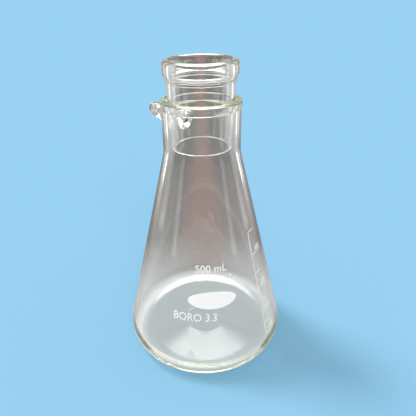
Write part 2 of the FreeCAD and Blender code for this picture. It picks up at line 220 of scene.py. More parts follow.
# ---- shape of the cone -------------------------------------------------------
def cone_angle(s):
    """Half-angle of the line from the neck's foot that is tangent to the heel."""
    across = s.base_diameter / 2 - s.heel - s.neck_diameter / 2
    up = s.neck_foot - s.heel
    return math.atan2(across, up) + math.asin(s.heel / math.hypot(across, up))


def cone_radius(s, height, inset=0.0):
    angle = cone_angle(s)
    return s.neck_diameter / 2 + (s.neck_foot - height) * math.tan(angle) - inset / math.cos(angle)


def cone_height(s, radius, inset=0.0):
    angle = cone_angle(s)
    return s.neck_foot - (radius + inset / math.cos(angle) - s.neck_diameter / 2) / math.tan(angle)


def insert_radius(s, height):
    """Outside of the insert's tapered sleeve at a height."""
    collar_top = s.top - s.bead_height - s.bead_undercut
    return s.collar_diameter / 2 - (collar_top - height) * s.slope


# ---- turned meshes -----------------------------------------------------------
ARC_STEP = math.radians(4)
LEAST_ARC_STEPS = 3
RUN_STEP = 4 * MM
SEGMENTS = 256
ARM_SEGMENTS = 64
# Tolerances: radians for a corner that counts as straight, metres for the others.
STRAIGHT = 1e-4
SAME_POINT = 1e-7
SAME_HEIGHT = 1e-6
ON_AXIS = 1e-9


def rounded_outline(corners, closed, fine=None):
    """Points and outward normals along an outline of (radius, height, rounding) corners.

    The outline runs with the glass on its left.  Runs inside the fine height band
    (low, high, count) get count steps."""
    points = [Vector((radius, height)) for radius, height, _ in corners]
    count = len(corners)
    stations = []
    for i, (_, _, rounding) in enumerate(corners):
        if not closed and i in (0, count - 1):
            stations.append([(points[i], None)])
            continue
        before = (points[i] - points[i - 1]).normalized()
        after = (points[(i + 1) % count] - points[i]).normalized()
        turn = math.atan2(before.x * after.y - before.y * after.x, before.dot(after))
        if rounding == 0 or abs(turn) < STRAIGHT:
            stations.append([(points[i], None)])
            continue
        start = points[i] - before * rounding * math.tan(abs(turn) / 2)
        inward = Vector((-before.y, before.x)) * math.copysign(rounding, turn)
        centre = start + inward
        steps = max(LEAST_ARC_STEPS, math.ceil(abs(turn) / ARC_STEP))
        arc = []
        for k in range(steps + 1):
            swing = Matrix.Rotation(turn * k / steps, 2)
            heading = swing @ before
            arc.append((centre - swing @ inward, Vector((heading.y, -heading.x))))
        stations.append(arc)
    outline = []
    for i, station in enumerate(stations):
        outline += [(p, n) for p, n in station if n is not None]
        if not closed and i == count - 1:
            outline.append((station[-1][0], outline[-1][1]))
            break
        start = station[-1][0]
        stop = stations[(i + 1) % count][0][0]
        run = stop - start
        if run.length < SAME_POINT:
            continue
        normal = Vector((run.y, -run.x)).normalized()
        steps = max(1, math.ceil(run.length / RUN_STEP))
        if fine and (fine[0] - SAME_HEIGHT <= min(start.y, stop.y)
                     and max(start.y, stop.y) <= fine[1] + SAME_HEIGHT):
            steps = fine[2]
        first = 1 if station[0][1] is not None else 0
        outline += [(start + run * k / steps, normal) for k in range(first, steps)]
    return outline


class TurnedMesh:
    """A grid of points turned round Z from an outline, with exact normals."""

    def __init__(self, outline, segments=SEGMENTS):
        self.segments = segments
        self.rows = []
        self.points = []
        self.normals = []
        self.faces = []
        for point, normal in outline:
            if point.x < ON_AXIS:
                self.rows.append([len(self.points)])
                self.points.append((0.0, 0.0, point.y))
                self.normals.append((0.0, 0.0, math.copysign(1.0, normal.y)))
                continue
            self.rows.append(list(range(len(self.points), len(self.points) + segments)))
            for i in range(segments):
                turn = 2 * math.pi * i / segments
                across, along = math.cos(turn), math.sin(turn)
                self.points.append((point.x * across, point.x * along, point.y))
                self.normals.append((normal.x * across, normal.x * along, normal.y))
        joined = list(zip(self.rows, self.rows[1:]))
        if len(self.rows[0]) > 1:
            joined.append((self.rows[-1], self.rows[0]))
        for low, high in joined:
            for i in range(segments):
                self.faces.append(self.quad(low, high, i))

    def quad(self, low, high, i):
        j = (i + 1) % self.segments
        if len(low) == 1:
            return [low[0], high[j], high[i]]
        if len(high) == 1:
            return [low[i], low[j], high[0]]
        return [low[i], low[j], high[j], high[i]]

    def build(self, name, corner_normals=None):
        """Mesh object whose corners take their points' normals unless told otherwise."""
        mesh = bpy.data.meshes.new(name)
        mesh.from_pydata(self.points, [], self.faces)
        mesh.shade_smooth()
        split = []
        for face in self.faces:
            for vertex in face:
                special = corner_normals.get((tuple(face), vertex)) if corner_normals else None
                split.append(special or self.normals[vertex])
        mesh.normals_split_custom_set(split)
        return link(name, mesh)


def link(name, data):
    thing = bpy.data.objects.new(name, data)
    bpy.context.scene.collection.objects.link(thing)
    return thing


def finish_piece(piece, body, node, material):
    piece.data.materials.clear()
    piece.data.materials.append(material)
    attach(piece, body)
    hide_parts(node)


# ---- the blown body ----------------------------------------------------------
# Square rings of grid points about the arm's hole: its own edge, and the first untouched one.
HOLE_RING = 3
WINDOW_RING = 8
WINDOW_STEP = 0.75 * MM
MARK_ROUND = 2.0 * MM
FOOT_ROUND = 6 * MM
BAND_ROUND = 0.3 * MM
LAND_ROUND = 1.0 * MM


def body_corners(s, insert, arm_window):
    """Outline from the middle of the underside round the rim to the middle of the floor."""
    neck = s.neck_diameter / 2
    bore = neck - s.neck_wall
    land_foot = s.rim_height - s.land_height
    land_low = insert_radius(insert, land_foot) + insert.clearance
    land_high = insert_radius(insert, s.rim_height) + insert.clearance
    band_foot = s.rim_height - s.band_height
    band = neck + s.band_proud
    low, high = arm_window
    return [
        (0, s.push_up + s.mark_depth, 0),
        (s.mark_radius - s.mark_slope, s.push_up + s.mark_depth, MARK_ROUND),
        (s.mark_radius + s.mark_slope, s.push_up, MARK_ROUND),
        (s.base_diameter / 2 - s.heel - s.foot_width, 0, FOOT_ROUND),
        (cone_radius(s, 0), 0, s.heel),
        (neck, s.neck_foot, s.shoulder),
        (neck, low, 0),
        (neck, high, 0),
        (neck, band_foot - s.band_proud, BAND_ROUND),
        (band, band_foot, BAND_ROUND),
        (band, s.rim_height, s.rim_outer_round),
        (land_high, s.rim_height, s.rim_inner_round),
        (land_low, land_foot, LAND_ROUND),
        (bore, land_foot - s.land_runout, LAND_ROUND),
        (bore, high, 0),
        (bore, low, 0),
        (bore, cone_height(s, bore, s.cone_wall), s.shoulder + s.neck_wall),
        (cone_radius(s, s.floor, s.cone_wall), s.floor, s.floor_corner),
        (0, s.floor + s.push_up / 2, 0),
    ]


def open_arm_hole(turned, arm, outer_middle, inner_middle, column):
    """Opens the round hole of the side arm through both surfaces of the neck.

    The square of faces round the hole's centre goes, and the rings of points
    about it ease from a circle out to the untouched grid."""
    segments = turned.segments
    hole = arm.bore / 2
    direction = arm_direction(arm)
    sideways = Vector((-direction.y, direction.x, 0))
    loops = []
    for middle, side in ((outer_middle, 1), (inner_middle, -1)):
        def vertex(i, j):
            return turned.rows[middle + side * j][(column + i) % segments]
        radius = math.hypot(*turned.points[vertex(0, 0)][:2])
        for i in range(-WINDOW_RING, WINDOW_RING + 1):
            for j in range(-WINDOW_RING, WINDOW_RING + 1):
                ring = max(abs(i), abs(j))
                if not HOLE_RING <= ring < WINDOW_RING:
                    continue
                k = vertex(i, j)
                x, y, z = turned.points[k]
                flat = Vector((x, y, 0))
                across = math.atan2(flat.dot(sideways), flat.dot(direction)) * radius
                up = z - arm.height
                angle = math.atan2(j, i)
                ease = (ring - HOLE_RING) / (WINDOW_RING - HOLE_RING)
                across = across * ease + hole * math.cos(angle) * (1 - ease)
                up = up * ease + hole * math.sin(angle) * (1 - ease)
                turn = across / radius
                if ring == HOLE_RING:
                    turn = math.asin(across / radius)
                out = direction * math.cos(turn) + sideways * math.sin(turn)
                turned.points[k] = (out.x * radius, out.y * radius, arm.height + up)
                turned.normals[k] = (side * out.x, side * out.y, 0.0)
        n = HOLE_RING
        square = [(n, j) for j in range(-n, n)] + [(i, n) for i in range(n, -n, -1)]
        square += [(-n, j) for j in range(n, -n, -1)] + [(i, -n) for i in range(-n, n)]
        loops.append([vertex(i, j) for i, j in square])
        inside = {vertex(i, j) for i in range(-n, n + 1) for j in range(-n, n + 1)}
        turned.faces = [face for face in turned.faces if not all(k in inside for k in face)]
    outer, inner = loops
    special = {}
    for a, b in zip(range(len(outer)), list(range(1, len(outer))) + [0]):
        face = [outer[b], outer[a], inner[a], inner[b]]
        turned.faces.append(face)
        for k in face:
            point = Vector(turned.points[k]) - Vector((0, 0, arm.height))
            off = point - direction * point.dot(direction)
            special[(tuple(face), k)] = tuple(-off.normalized())
    return special


def drop_loose_points(turned):
    """Forgets the points that no face uses."""
    used = sorted({k for face in turned.faces for k in face})
    place = {k: i for i, k in enumerate(used)}
    turned.points = [turned.points[k] for k in used]
    turned.normals = [turned.normals[k] for k in used]
    turned.faces = [[place[k] for k in face] for face in turned.faces]
    return place


def arm_direction(arm):
    return Vector((math.sin(arm.bearing), -math.cos(arm.bearing), 0))


class FLASK_OT_body(Operator):
    """Turns the blown body of the flask and opens the side arm's hole in its neck"""
    bl_idname = "flask.body"
    bl_label = "Blown body"

    def execute(self, context):
        kit = context.scene.filter_flask
        s, arm = kit.flask, kit.arm
        half = WINDOW_STEP * WINDOW_RING
        window = (arm.height - half, arm.height + half)
        corners = body_corners(s, kit.insert, window)
        outline = rounded_outline(corners, closed=False, fine=(*window, 2 * WINDOW_RING))
        turned = TurnedMesh(outline)
        middles = [k for k, (point, _) in enumerate(outline)
                   if abs(point.y - arm.height) < SAME_HEIGHT]
        direction = arm_direction(arm)
        turn = math.atan2(direction.y, direction.x) % (2 * math.pi)
        column = round(turn / (2 * math.pi) * turned.segments)
        special = open_arm_hole(turned, arm, middles[0], middles[1], column)
        place = drop_loose_points(turned)
        special = {(tuple(place[k] for k in face), place[v]): normal
                   for (face, v), normal in special.items()}
        piece = turned.build("blown_body", special)
        finish_piece(piece, FLASK, "flask_body",
                     clear_glass("body_glass", kit.looks, waviness=1.0))
        return {"FINISHED"}


# ---- the side arm ------------------------------------------------------------
SEAT_ROUND = 0.05 * MM
ROOT_COLLAR = 0.6 * MM
ROOT_EDGE_ROUND = 0.2 * MM
ROOT_ROUND = 0.4 * MM
FLARE_ROUND = 4 * MM
BARB_ROUND = 0.12 * MM
BARB_BACK_ROUND = 0.25 * MM
TIP_ROUND = 0.8 * MM
TIP_BORE_ROUND = 0.5 * MM


class FLASK_OT_side_arm(Operator):
    """Turns the serrated hose connection and seats its root on the neck"""
    bl_idname = "flask.side_arm"
    bl_label = "Side arm"

    def execute(self, context):
        kit = context.scene.filter_flask
        arm = kit.arm
        neck = kit.flask.neck_diameter / 2 + arm.weld_gap
        bore, tube = arm.bore / 2, arm.tube / 2
        corners = [
            (bore, neck, SEAT_ROUND),
            (arm.root / 2, neck, ROOT_EDGE_ROUND),
            (arm.root / 2, neck + ROOT_COLLAR, ROOT_ROUND),
            (tube, kit.flask.neck_diameter / 2 + arm.root_length, FLARE_ROUND),
        ]
        for i in range(arm.barbs):
            crest = (arm.tip_barb + (arm.barbs - 1 - i) * arm.growth) / 2
            flat = arm.crest if i else arm.stop_crest
            end = arm.reach - (arm.barbs - i) * arm.pitch + arm.ramp + arm.crest
            foot = crest - arm.depth if i else tube
            corners.append((foot, end - flat - arm.ramp, BARB_ROUND))
            corners.append((crest, end - flat, BARB_ROUND))
            corners.append((crest, end, BARB_BACK_ROUND))
        corners.append((crest - arm.depth, arm.reach, TIP_ROUND))
        corners.append((bore, arm.reach, TIP_BORE_ROUND))
        turned = TurnedMesh(rounded_outline(corners, closed=True), ARM_SEGMENTS)
        direction = arm_direction(arm)
        sideways = Vector((0, 0, 1)).cross(direction)
        place = Matrix((sideways, Vector((0, 0, 1)), direction)).transposed()
        for k, (x, y, along) in enumerate(turned.points):
            saddle = math.sqrt(neck ** 2 - x ** 2)
            share = min(1.0, max(0.0, 1 - (along - neck) / arm.root_length))
            point = place @ Vector((x, y, along + (saddle - neck) * share))
            turned.points[k] = (point.x, point.y, point.z + arm.height)
            turned.normals[k] = tuple(place @ Vector(turned.normals[k]))
        piece = turned.build("hose_connection")
        finish_piece(piece, FLASK, "side_arm",
                     clear_glass("arm_glass", kit.looks, waviness=0.6))
        return {"FINISHED"}


# ---- the insert --------------------------------------------------------------
BORE_BLEND = 20 * MM
RIDGE_ROUND = 0.3 * MM
RIDGE_TOP_ROUND = 0.25 * MM
COLLAR_ROUND = 0.4 * MM
BEAD_FOOT_SHARPER = 0.6 * MM


class FLASK_OT_insert(Operator):
    """Turns the open tapered sleeve with its heavy bead"""
    bl_idname = "flask.insert"
    bl_label = "Beaded insert"

    def execute(self, context):
        kit = context.scene.filter_flask
        s = kit.insert
        bore, bead = s.bore_diameter / 2, s.bead_diameter / 2
        bead_foot = s.top - s.bead_height
        collar_top = bead_foot - s.bead_undercut
        ridge_top = collar_top - s.ridge_drop
        ridge_foot = ridge_top - s.ridge_height
        ridge = insert_radius(s, ridge_top) + s.ridge_proud
        below = ridge_foot - s.ridge_proud
        above = ridge_top + s.ridge_proud
        corners = [
            (bore, s.top, s.bead_inner_round),
            (bore, s.top - s.bore_length, BORE_BLEND),
            (insert_radius(s, s.end) - s.wall, s.end, s.end_round),
            (insert_radius(s, s.end), s.end, s.end_round),
            (insert_radius(s, below), below, RIDGE_ROUND),
            (ridge, ridge_foot, RIDGE_ROUND),
            (ridge, ridge_top, RIDGE_ROUND),
            (insert_radius(s, above), above, RIDGE_TOP_ROUND),
            (s.collar_diameter / 2, collar_top, COLLAR_ROUND),
            (bead, bead_foot, s.bead_round - BEAD_FOOT_SHARPER),
            (bead, s.top, s.bead_round),
        ]
        piece = TurnedMesh(rounded_outline(corners, closed=True)).build("beaded_sleeve")
        finish_piece(piece, INSERT, "insert",
                     clear_glass("insert_glass", kit.looks, waviness=0.8))
        return {"FINISHED"}


# ---- the enamel marks --------------------------------------------------------
# A mark is cut every slice so that it can bend, and stands a hair off the glass.
SLICE = 0.7 * MM
ENAMEL_LIFT = 0.01 * MM
LETTER_DEPTH = 0.05
LETTER_STEPS = 8
WELD = 1e-6
OVAL_SIDES = 96
SHARP_EDGE = math.radians(30)


def flat_text(text, width, tall, thickness):
    """Bmesh of a line of text, centred, width by tall, its back at zero depth."""
    curve = bpy.data.curves.new("text", "FONT")
    curve.body = text
    curve.extrude = LETTER_DEPTH
    curve.resolution_u = LETTER_STEPS
    holder = link("text", curve)
    depsgraph = bpy.context.evaluated_depsgraph_get()
    mesh = bpy.data.meshes.new_from_object(holder.evaluated_get(depsgraph))
    bpy.data.objects.remove(holder)
    bpy.data.curves.remove(curve)
    points = np.array([v.co for v in mesh.vertices])
    low, high = points.min(axis=0), points.max(axis=0)
    scale = np.array([width, tall, thickness]) / (high - low)
    points = (points - low) * scale - np.array([width / 2, tall / 2, 0])
    mesh.vertices.foreach_set("co", points.ravel())
    flat = bmesh.new()
    flat.from_mesh(mesh)
    bpy.data.meshes.remove(mesh)
    bmesh.ops.remove_doubles(flat, verts=flat.verts, dist=WELD)
    return flat


def flat_bar(left, low, right, high, thickness):
    flat = bmesh.new()
    bmesh.ops.create_cube(flat, size=1)
    middle = Vector(((left + right) / 2, (low + high) / 2, thickness / 2))
    for vertex in flat.verts:
        vertex.co.x *= right - left
        vertex.co.y *= high - low
        vertex.co.z *= thickness
        vertex.co += middle
    return flat


def flat_oval(width, tall, thickness):
    flat = bmesh.new()
    bmesh.ops.create_cone(flat, cap_ends=True, segments=OVAL_SIDES,
                          radius1=0.5, radius2=0.5, depth=1)
    for vertex in flat.verts:
        vertex.co.x *= width
        vertex.co.y *= tall
        vertex.co.z = (vertex.co.z + 0.5) * thickness
    return flat


def slice_across(flat):
    """Cuts upright lines through a flat mark so that it can bend round the cone."""
    xs = [v.co.x for v in flat.verts]
    first = math.ceil(min(xs) / SLICE)
    last = math.floor(max(xs) / SLICE)
    for k in range(first, last + 1):
        geometry = flat.verts[:] + flat.edges[:] + flat.faces[:]
        bmesh.ops.bisect_plane(flat, geom=geometry, dist=SAME_POINT,
                               plane_co=(k * SLICE, 0, 0), plane_no=(1, 0, 0))


def wrap(flat, s, turn, height):
    """Bends a flat mark onto the cone at a bearing and a height."""
    angle = cone_angle(s)
    for vertex in flat.verts:
        across, along, out = vertex.co
        z = height + along * math.cos(angle)
        here = turn + across / cone_radius(s, z)
        out += ENAMEL_LIFT
        radius = cone_radius(s, z) + out * math.cos(angle)
        vertex.co = (radius * math.sin(here), -radius * math.cos(here), z + out * math.sin(angle))


def mark_object(name, flats, node, kit):
    """One object from wrapped marks, shaded flat at their edges and smooth across."""
    mesh = bpy.data.meshes.new(name)
    whole = bmesh.new()
    for flat in flats:
        part = bpy.data.meshes.new("part")
        flat.to_mesh(part)
        flat.free()
        whole.from_mesh(part)
        bpy.data.meshes.remove(part)
    whole.to_mesh(mesh)
    whole.free()
    mesh.shade_smooth()
    mesh.set_sharp_from_angle(angle=SHARP_EDGE)
    finish_piece(link(name, mesh), FLASK, node, fired_enamel(kit.looks))


def printed_line(kit, name, node, text, turn, height, width, tall):
    flat = flat_text(text, width, tall, kit.marks.thickness)
    slice_across(flat)
    wrap(flat, kit.flask, turn, height)
    mark_object(name, [flat], node, kit)


class FLASK_OT_lettering(Operator):
    """Prints the capacity mark, the small line under it and the glass line"""
    bl_idname = "flask.lettering"
    bl_label = "Lettering"

    def execute(self, context):
        kit = context.scene.filter_flask
        m = kit.marks
        printed_line(kit, "print_capacity", "capacity_mark", m.capacity, m.front_bearing,
                     m.capacity_height, m.capacity_width, m.capacity_tall)
        printed_line(kit, "print_stopper", "stopper_mark", m.stopper, m.front_bearing,
                     m.stopper_height, m.stopper_width, m.stopper_tall)
        printed_line(kit, "print_glass", "glass_mark", m.glass, m.glass_bearing,
                     m.glass_height, m.glass_width, m.glass_tall)
        return {"FINISHED"}


class FLASK_OT_patch(Operator):
    """Prints the white oval for writing on"""
    bl_idname = "flask.patch"
    bl_label = "Writing oval"

    def execute(self, context):
        kit = context.scene.filter_flask
        m = kit.marks
        oval = flat_oval(m.patch_width, m.patch_tall, m.thickness)
        slice_across(oval)
        wrap(oval, kit.flask, m.front_bearing, m.patch_height)
        mark_object("print_oval", [oval], "writing_patch", kit)
        return {"FINISHED"}


SCALE_MILLILITRES = range(100, 451, 50)
NUMBERED_EVERY = 100
MILLILITRE = 1e-6
CAVITY_SLICES = 4000
TICK_GAP = 3
NUMBER_SHAPE = 2.2


def fill_height(s, millilitres):
    """Height of the liquid's surface, by adding thin slices of the cavity."""
    corners = [
        (0, s.floor + s.push_up / 2, 0),
        (cone_radius(s, s.floor, s.cone_wall), s.floor, s.floor_corner),
        (cone_radius(s, s.neck_foot, s.cone_wall), s.neck_foot, 0),
    ]
    outline = rounded_outline(corners, closed=False)
    radii = np.array([point.x for point, _ in outline])
    heights = np.array([point.y for point, _ in outline])
    lowest = np.argmin(heights)
    slices = np.linspace(s.floor, s.neck_foot, CAVITY_SLICES)
    wall = np.interp(slices, heights[lowest:], radii[lowest:])
    dome = np.interp(slices, heights[lowest::-1], radii[lowest::-1], right=0.0)
    volume = np.cumsum(np.pi * (wall ** 2 - dome ** 2)) * (slices[1] - slices[0])
    return float(np.interp(millilitres * MILLILITRE, volume, slices))


class FLASK_OT_scale(Operator):
    """Prints the graduation: its line, its ticks and their numbers"""
    bl_idname = "flask.scale"
    bl_label = "Graduation"

    def execute(self, context):
        kit = context.scene.filter_flask
        m, s = kit.marks, kit.flask
        heights = {volume: fill_height(s, volume) for volume in SCALE_MILLILITRES}
        low, high = min(heights.values()), max(heights.values())
        reach = (high - low) / 2 / math.cos(cone_angle(s))
        half = m.line_width / 2
        line = flat_bar(-half, -reach, half, reach, m.thickness)
        wrap(line, s, m.scale_bearing, (low + high) / 2)
        mark_object("print_scale_line", [line], "scale_line", kit)
        ticks, numbers = [], []
        for volume, height in heights.items():
            numbered = volume % NUMBERED_EVERY == 0
            end = TICK_GAP * half + (m.long_tick if numbered else m.short_tick)
            tick = flat_bar(TICK_GAP * half, -half, end, half, m.thickness)
            slice_across(tick)
            wrap(tick, s, m.scale_bearing, height)
            ticks.append(tick)
            if numbered:
                width = NUMBER_SHAPE * m.number_tall
                number = flat_text(str(volume), width, m.number_tall, m.thickness)
                slice_across(number)
                turn = m.scale_bearing + (m.long_tick - width / 2) / cone_radius(s, height)
                wrap(number, s, turn, height + m.number_lift)
                numbers.append(number)
        mark_object("print_scale_ticks", ticks, "scale_ticks", kit)
        mark_object("print_scale_numbers", numbers, "scale_numbers", kit)
        return {"FINISHED"}


# ---- finishes ----------------------------------------------------------------
GLASS_TINT = (0.985, 0.99, 0.985)
GLASS_SHADOW = (0.80, 0.82, 0.83)
HAZE_SCALE, HAZE_DETAIL = 55, 6
HAZE_NOISE = (0.52, 0.85)
HAZE_ROUGHNESS = 0.035
WAVE_SCALE, WAVE_DETAIL = 48, 1.0
WAVE_STRETCH = (1, 1, 0.35)
WAVE_STRENGTH = 0.25
WAVE_DEPTH = 0.35 * MM
COVER_SCALE, COVER_DETAIL = 900, 4
COVER_NOISE = (0.3, 0.5)
THIN_ENAMEL = 0.95
ENAMEL_ROUGHNESS = (0.28, 0.5)
PEEL_SCALE, PEEL_DETAIL = 2600, 2
PEEL_STRENGTH = 0.3
PEEL_DEPTH = 0.02 * MM


def opaque(rgb):
    return (*rgb, 1)


def new_material(name, kind="ShaderNodeBsdfPrincipled"):
    """A material with one shader on its surface, and the parts of its node tree."""
    material = bpy.data.materials.new(name)
    material.use_nodes = True
    nodes, links = material.node_tree.nodes, material.node_tree.links
    nodes.clear()
    output = nodes.new("ShaderNodeOutputMaterial")
    shader = nodes.new(kind)
    links.new(shader.outputs[0], output.inputs["Surface"])
    return material, nodes, links, shader, output


def noise(nodes, links, scale, detail, stretch=(1, 1, 1)):
    """Noise in the object's own space; a stretch under 1 lengthens it along that axis."""
    place = nodes.new("ShaderNodeTexCoord")
    mapping = nodes.new("ShaderNodeMapping")
    mapping.inputs["Scale"].default_value = stretch
    texture = nodes.new("ShaderNodeTexNoise")
    texture.inputs["Scale"].default_value = scale
    texture.inputs["Detail"].default_value = detail
    links.new(place.outputs["Object"], mapping.inputs["Vector"])
    links.new(mapping.outputs["Vector"], texture.inputs["Vector"])
    return texture.outputs["Fac"]


def ranged(nodes, links, source, low, high, start=0.0, stop=1.0, smooth=False):
    """Goes from low to high while the source goes from start to stop."""
    spread = nodes.new("ShaderNodeMapRange")
    if smooth:
        spread.interpolation_type = "SMOOTHSTEP"
    spread.inputs["From Min"].default_value = start
    spread.inputs["From Max"].default_value = stop
    spread.inputs["To Min"].default_value = low
    spread.inputs["To Max"].default_value = high
    links.new(source, spread.inputs["Value"])
    return spread.outputs["Result"]


def worked_out(nodes, links, operation, *sources):
    node = nodes.new("ShaderNodeMath")
    node.operation = operation
    for source, socket in zip(sources, node.inputs):
        links.new(source, socket)
    return node.outputs["Value"]


def blend(nodes, links, first, second, share):
    """Goes from the first colour to the second while the share goes from 0 to 1."""
    mix = nodes.new("ShaderNodeMix")
    mix.data_type = "RGBA"
    for name, value in (("A", first), ("B", second), ("Factor", share)):
        if isinstance(value, bpy.types.NodeSocket):
            links.new(value, mix.inputs[name])
        else:
            mix.inputs[name].default_value = opaque(value)
    return mix.outputs["Result"]


def off_axis(nodes, links, place):
    """Distance of a place from the upright axis."""
    flat = nodes.new("ShaderNodeVectorMath")
    flat.operation = "MULTIPLY"
    flat.inputs[1].default_value = (1, 1, 0)
    links.new(place, flat.inputs[0])
    reach = nodes.new("ShaderNodeVectorMath")
    reach.operation = "LENGTH"
    links.new(flat.outputs["Vector"], reach.inputs[0])
    return reach.outputs["Value"]


def uneven(nodes, links, shader, height, strength, depth):
    """Makes a shader's surface rise and fall with a height."""
    bump = nodes.new("ShaderNodeBump")
    bump.inputs["Strength"].default_value = strength
    bump.inputs["Distance"].default_value = depth
    links.new(height, bump.inputs["Height"])
    links.new(bump.outputs["Normal"], shader.inputs["Normal"])


def clear_glass(name, looks, waviness):
    """Clear borosilicate: slow waves from blowing, a trace of haze, green-yellow depth.

    Shadows and diffuse light pass straight through it, a little dimmed."""
    material, nodes, links, shader, output = new_material(name)
    shader.inputs["Base Color"].default_value = opaque(GLASS_TINT)
    shader.inputs["Transmission Weight"].default_value = 1.0
    shader.inputs["IOR"].default_value = looks.glass_ior
    haze = noise(nodes, links, HAZE_SCALE, HAZE_DETAIL)
    links.new(ranged(nodes, links, haze, 0.0, HAZE_ROUGHNESS, *HAZE_NOISE),
              shader.inputs["Roughness"])
    waves = noise(nodes, links, WAVE_SCALE, WAVE_DETAIL, WAVE_STRETCH)
    uneven(nodes, links, shader, waves, WAVE_STRENGTH * waviness, WAVE_DEPTH)
    passed = nodes.new("ShaderNodeBsdfTransparent")
    passed.inputs["Color"].default_value = opaque(GLASS_SHADOW)
    path = nodes.new("ShaderNodeLightPath")
    choice = nodes.new("ShaderNodeMixShader")
    lit = worked_out(nodes, links, "MAXIMUM",
                     path.outputs["Is Shadow Ray"], path.outputs["Is Diffuse Ray"])
    links.new(lit, choice.inputs["Fac"])
    links.new(shader.outputs["BSDF"], choice.inputs[1])
    links.new(passed.outputs["BSDF"], choice.inputs[2])
    links.new(choice.outputs["Shader"], output.inputs["Surface"])
    depth = nodes.new("ShaderNodeVolumeAbsorption")
    depth.inputs["Color"].default_value = opaque(looks.glass_edge)
    depth.inputs["Density"].default_value = looks.glass_depth
    links.new(depth.outputs["Volume"], output.inputs["Volume"])
    return material


def fired_enamel(looks):
    """White enamel: slightly uneven cover, a fine orange-peel surface."""
    known = bpy.data.materials.get("fired_enamel")
    if known:
        return known
    material, nodes, links, shader, _ = new_material("fired_enamel")
    cover = noise(nodes, links, COVER_SCALE, COVER_DETAIL)
    thin = [THIN_ENAMEL * part for part in looks.enamel]
    tint = blend(nodes, links, thin, looks.enamel,
                 ranged(nodes, links, cover, 0, 1, *COVER_NOISE))
    links.new(tint, shader.inputs["Base Color"])
    links.new(ranged(nodes, links, cover, *ENAMEL_ROUGHNESS), shader.inputs["Roughness"])
    peel = noise(nodes, links, PEEL_SCALE, PEEL_DETAIL)
    uneven(nodes, links, shader, peel, PEEL_STRENGTH, PEEL_DEPTH)
    return material


# ---- camera and stage --------------------------------------------------------
SENSOR = 36
CAMERA_DISTANCE = 225.7 * MM
CAMERA_HEIGHT = 218.7 * MM
CAMERA_PITCH = math.radians(27.07)
CAMERA_ROLL = math.radians(-1.093)
CAMERA_LENS = 34.73
CAMERA_SHIFT = (0.0121, -0.0256)
CAMERA_NEAR = 0.01


class FLASK_OT_camera(Operator):
    """Places the camera in front of the flask and above it"""
    bl_idname = "flask.camera"
    bl_label = "Camera"

    def execute(self, context):
        data = bpy.data.cameras.new("camera")
        data.sensor_width = SENSOR
        data.lens = CAMERA_LENS
        data.shift_x, data.shift_y = CAMERA_SHIFT
        data.clip_start = CAMERA_NEAR
        camera = link("camera", data)
        camera.location = (0, -CAMERA_DISTANCE, CAMERA_HEIGHT)
        tilt = Matrix.Rotation(math.pi / 2 - CAMERA_PITCH, 3, "X")
        camera.rotation_euler = (tilt @ Matrix.Rotation(CAMERA_ROLL, 3, "Z")).to_euler()
        context.scene.camera = camera
        return {"FINISHED"}


# Distances on the stage are in metres; a pair is where a change starts and where it ends.
FLOOR_SIDES = 96
FLOOR_ROUGHNESS = 0.95
# Painted shade: over this reach behind the flask the floor's grey darkens; painted light keeps it
# light beside the flask.
PAINTED_SHADE_REACH = 0.4
PAINTED_SHADE_NEAR, PAINTED_SHADE_MIDDLE, PAINTED_SHADE_FAR = 0.1, 0.3, 1.0
PAINTED_LIGHT_SIDES = (0.12, 0.3)
# Painted reflection: where the warm strip behind the flask starts and fades.
REFLECTION_STRIP_EDGE = (0.012, 0.035)
REFLECTION_STRIP_START = (0.04, 0.12)
REFLECTION_STRIP_STRENGTH = 0.75
# Painted light: where the nearly white pool under the flask ends.
PAINTED_LIGHT_UNDER_EDGE = (0.05, 0.065)
CARD_ASIDE = 0.35
CARD_ROWS = (-0.22, 0.06, 0.3)
CARD_HALF = 0.035
CARD_TALL = 0.6
GLOW_START = 0.4
ROOM_TINT = (0.95, 0.97, 1.0)
KEY_HEADING = (0.55, -0.3, -1.0)
KEY_SPREAD = math.radians(14)
WASH_HEADING = (-0.1, 0.87, -0.5)
WASH_SPREAD = math.radians(40)
FRONT_PLACE = (0.35, -0.9, 0.75)
FRONT_TARGET = (0, 0, 0.09)
FRONT_SIZE = (0.9, 0.7)
BOUNCES = 64
TRANSPARENT_BOUNCES = 32


def aim(light, heading):
    light.rotation_euler = Vector(heading).to_track_quat("-Z", "Y").to_euler()


def far_light(name, heading, strength, spread):
    data = bpy.data.lights.new(name, "SUN")
    data.energy = strength
    data.angle = spread
    light = link(name, data)
    aim(light, heading)
    return light


def front_light(power):
    """A wide light in front of the flask that shows in gloss and glass alone."""
    data = bpy.data.lights.new("front", "AREA")
    data.shape = "RECTANGLE"
    data.size, data.size_y = FRONT_SIZE
    data.energy = power
    light = link("front", data)
    light.location = FRONT_PLACE
    aim(light, Vector(FRONT_TARGET) - Vector(FRONT_PLACE))
    light.visible_camera = False
    light.visible_diffuse = False


